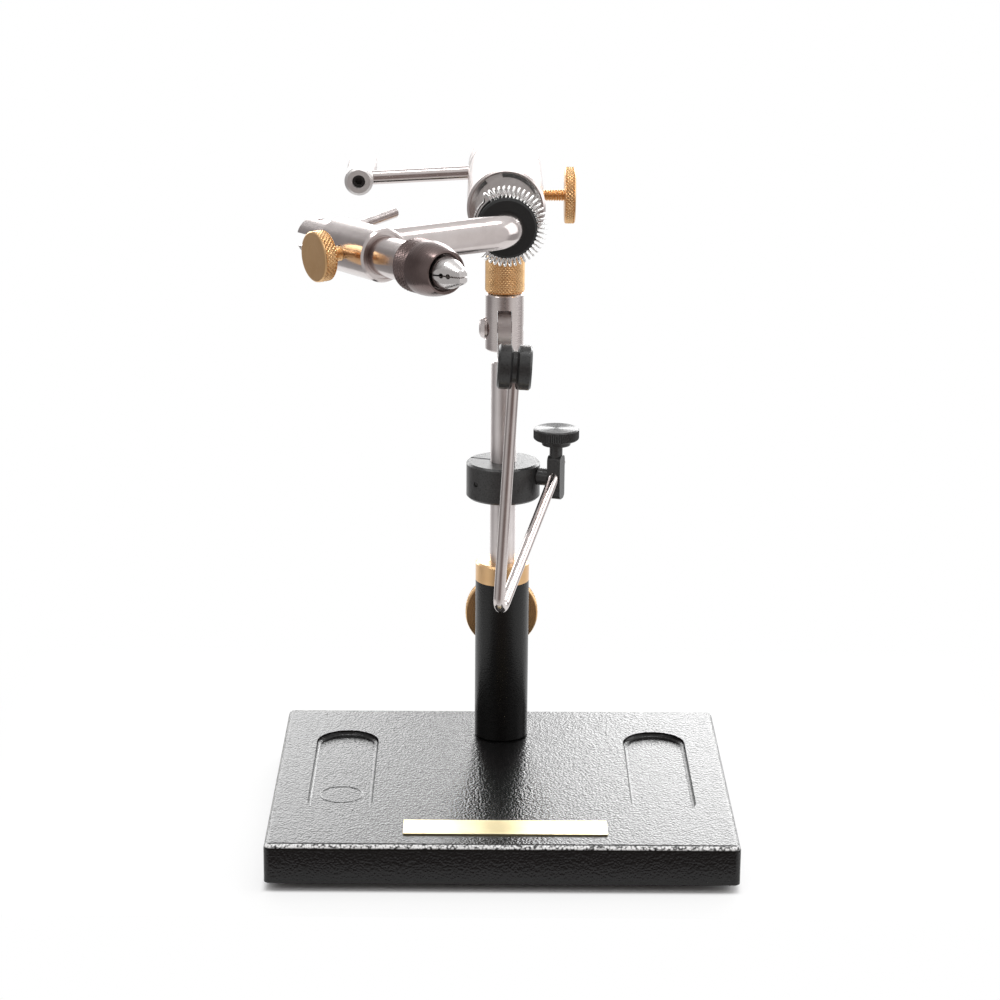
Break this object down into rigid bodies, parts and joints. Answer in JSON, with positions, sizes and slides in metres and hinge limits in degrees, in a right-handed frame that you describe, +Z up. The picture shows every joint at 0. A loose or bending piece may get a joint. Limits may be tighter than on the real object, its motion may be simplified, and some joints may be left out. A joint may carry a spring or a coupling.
{
  "type": "fly tying vise",
  "caption": "Rotary fly tying vise on a pedestal base, with cam-locked collet jaws on a bent arm, a cranked head, a material clip and a swinging bobbin rest.",
  "frame": {"origin": "on the post's axis, at the level of the surface that the feet stand on", "axes": "+X to the right, +Y away from the front edge of the base and along the rotary axis, +Z up"},
  "size_m": [0.1646, 0.2421, 0.2385],
  "materials": {
    "black_coat": "black hammered powder coat",
    "rubber": "matte",
    "brass": "turned and knurled",
    "black_plastic": "satin",
    "black_anodised": "black anodised",
    "pad_plastic": "plain",
    "dark_steel": "black oxide",
    "hardened_steel": "ground",
    "spring_steel": "bright wire",
    "steel": "polished stainless steel"
  },
  "bodies": {
    "base": {"base_plate": "black_coat", "rubber_feet": "rubber", "name_plate": "brass", "stem_tube": "black_coat", "stem_bolt": "dark_steel", "stem_bush": "brass"},
    "post_clamp": {"post_clamp_screw": "brass"},
    "post": {"post": "steel"},
    "bobbin_collar": {"bobbin_collar": "black_anodised", "collar_screw": "steel"},
    "rod_clamp": {"rod_clamp": "black_anodised"},
    "clamp_knob": {"clamp_knob": "black_plastic", "clamp_screw": "steel"},
    "bobbin_rod": {"bobbin_rod": "steel", "cradle_spool": "black_plastic"},
    "head": {"yoke": "steel", "tilt_screw": "steel", "neck_stud": "steel", "rotary_housing": "steel", "front_bush": "steel", "retaining_ring": "spring_steel", "rear_bush": "brass", "drag_pad": "pad_plastic"},
    "neck_nut": {"neck_nut": "brass"},
    "drag_screw": {"drag_screw": "brass"},
    "rotor": {"bent_shaft": "steel", "clip_hub": "rubber", "clip_spring": "spring_steel", "crank_collar": "steel", "crank_set_screw": "dark_steel", "crank_rod": "steel", "crank_eye": "steel", "jaw_holder": "steel"},
    "crank_handle": {"crank_handle": "steel", "handle_screw": "dark_steel"},
    "jaw_clamp": {"jaw_clamp_screw": "brass"},
    "jaw_tube": {"jaw_tube": "steel", "cam_pin": "steel"},
    "jaw_nose": {"jaw_nose": "dark_steel"},
    "collet": {"push_rod": "hardened_steel", "upper_jaw": "hardened_steel", "lower_jaw": "hardened_steel"},
    "cam_lever": {"cam_lever": "steel"}
  },
  "joints": [
    {"name": "post_slide", "type": "slide", "parent": "base", "child": "post", "axis": [0, 0, 1], "range_m": [-0.0095, 0.018]},
    {"name": "post_clamp_turn", "type": "hinge", "parent": "base", "child": "post_clamp", "pos_m": [0, 0, 0.0602], "axis": [0, 1, 0], "range_deg": [-180, 180]},
    {"name": "bobbin_swing", "type": "hinge", "parent": "post", "child": "bobbin_collar", "pos_m": [0, 0, 0.1202], "axis": [0, 0, 1], "range_deg": [-120, 120]},
    {"name": "rod_swivel", "type": "hinge", "parent": "bobbin_collar", "child": "rod_clamp", "pos_m": [0, 0, 0.1202], "axis": [0.9426, -0.3338, 0], "range_deg": [-20, 35]},
    {"name": "knob_turn", "type": "hinge", "parent": "rod_clamp", "child": "clamp_knob", "pos_m": [0.01932, -0.00684, 0.1289], "axis": [0, 0, 1], "range_deg": [-180, 180]},
    {"name": "rod_slide", "type": "slide", "parent": "rod_clamp", "child": "bobbin_rod", "axis": [-0.2883, -0.814, -0.5043], "range_m": [-0.02, 0.004]},
    {"name": "head_tilt", "type": "hinge", "parent": "post", "child": "head", "pos_m": [0, 0, 0.1752], "axis": [1, 0, 0], "range_deg": [-60, 20]},
    {"name": "neck_nut_turn", "type": "hinge", "parent": "head", "child": "neck_nut", "pos_m": [0, 0, 0.1885], "axis": [0, 0, 1], "range_deg": [-180, 180]},
    {"name": "drag_turn", "type": "hinge", "parent": "head", "child": "drag_screw", "pos_m": [0, -0.003, 0.2247], "axis": [1, 0, 0], "range_deg": [-180, 180]},
    {"name": "rotary", "type": "hinge", "parent": "head", "child": "rotor", "pos_m": [0, 0, 0.2247], "axis": [0, 1, 0], "range_deg": [-75, 250]},
    {"name": "crank_handle_spin", "type": "hinge", "parent": "rotor", "child": "crank_handle", "pos_m": [-0.0549, 0.0504, 0.22144], "axis": [0, 1, 0], "continuous": true},
    {"name": "jaw_clamp_turn", "type": "hinge", "parent": "rotor", "child": "jaw_clamp", "pos_m": [-0.04737, -0.09986, 0.22288], "axis": [-0.8352, -0.549, -0.0321], "range_deg": [-180, 180]},
    {"name": "jaw_slide", "type": "slide", "parent": "rotor", "child": "jaw_tube", "axis": [0.5486, -0.8358, 0.0211], "range_m": [-0.008, 0.008]},
    {"name": "nose_turn", "type": "hinge", "parent": "jaw_tube", "child": "jaw_nose", "pos_m": [-0.04737, -0.09986, 0.22288], "axis": [0.5486, -0.8358, 0.0211], "continuous": true},
    {"name": "lever_swing", "type": "hinge", "parent": "jaw_tube", "child": "cam_lever", "pos_m": [-0.06174, -0.07797, 0.22233], "axis": [-0.0384, 0, 0.9993], "range_deg": [0, 60]},
    {"name": "collet_slide", "type": "slide", "parent": "jaw_tube", "child": "collet", "axis": [0.5486, -0.8358, 0.0211], "range_m": [-0.001, 0]}
  ],
  "couplings": [
    {"joint": "collet_slide", "follows": "lever_swing", "m_per_rad": -0.00095}
  ]
}
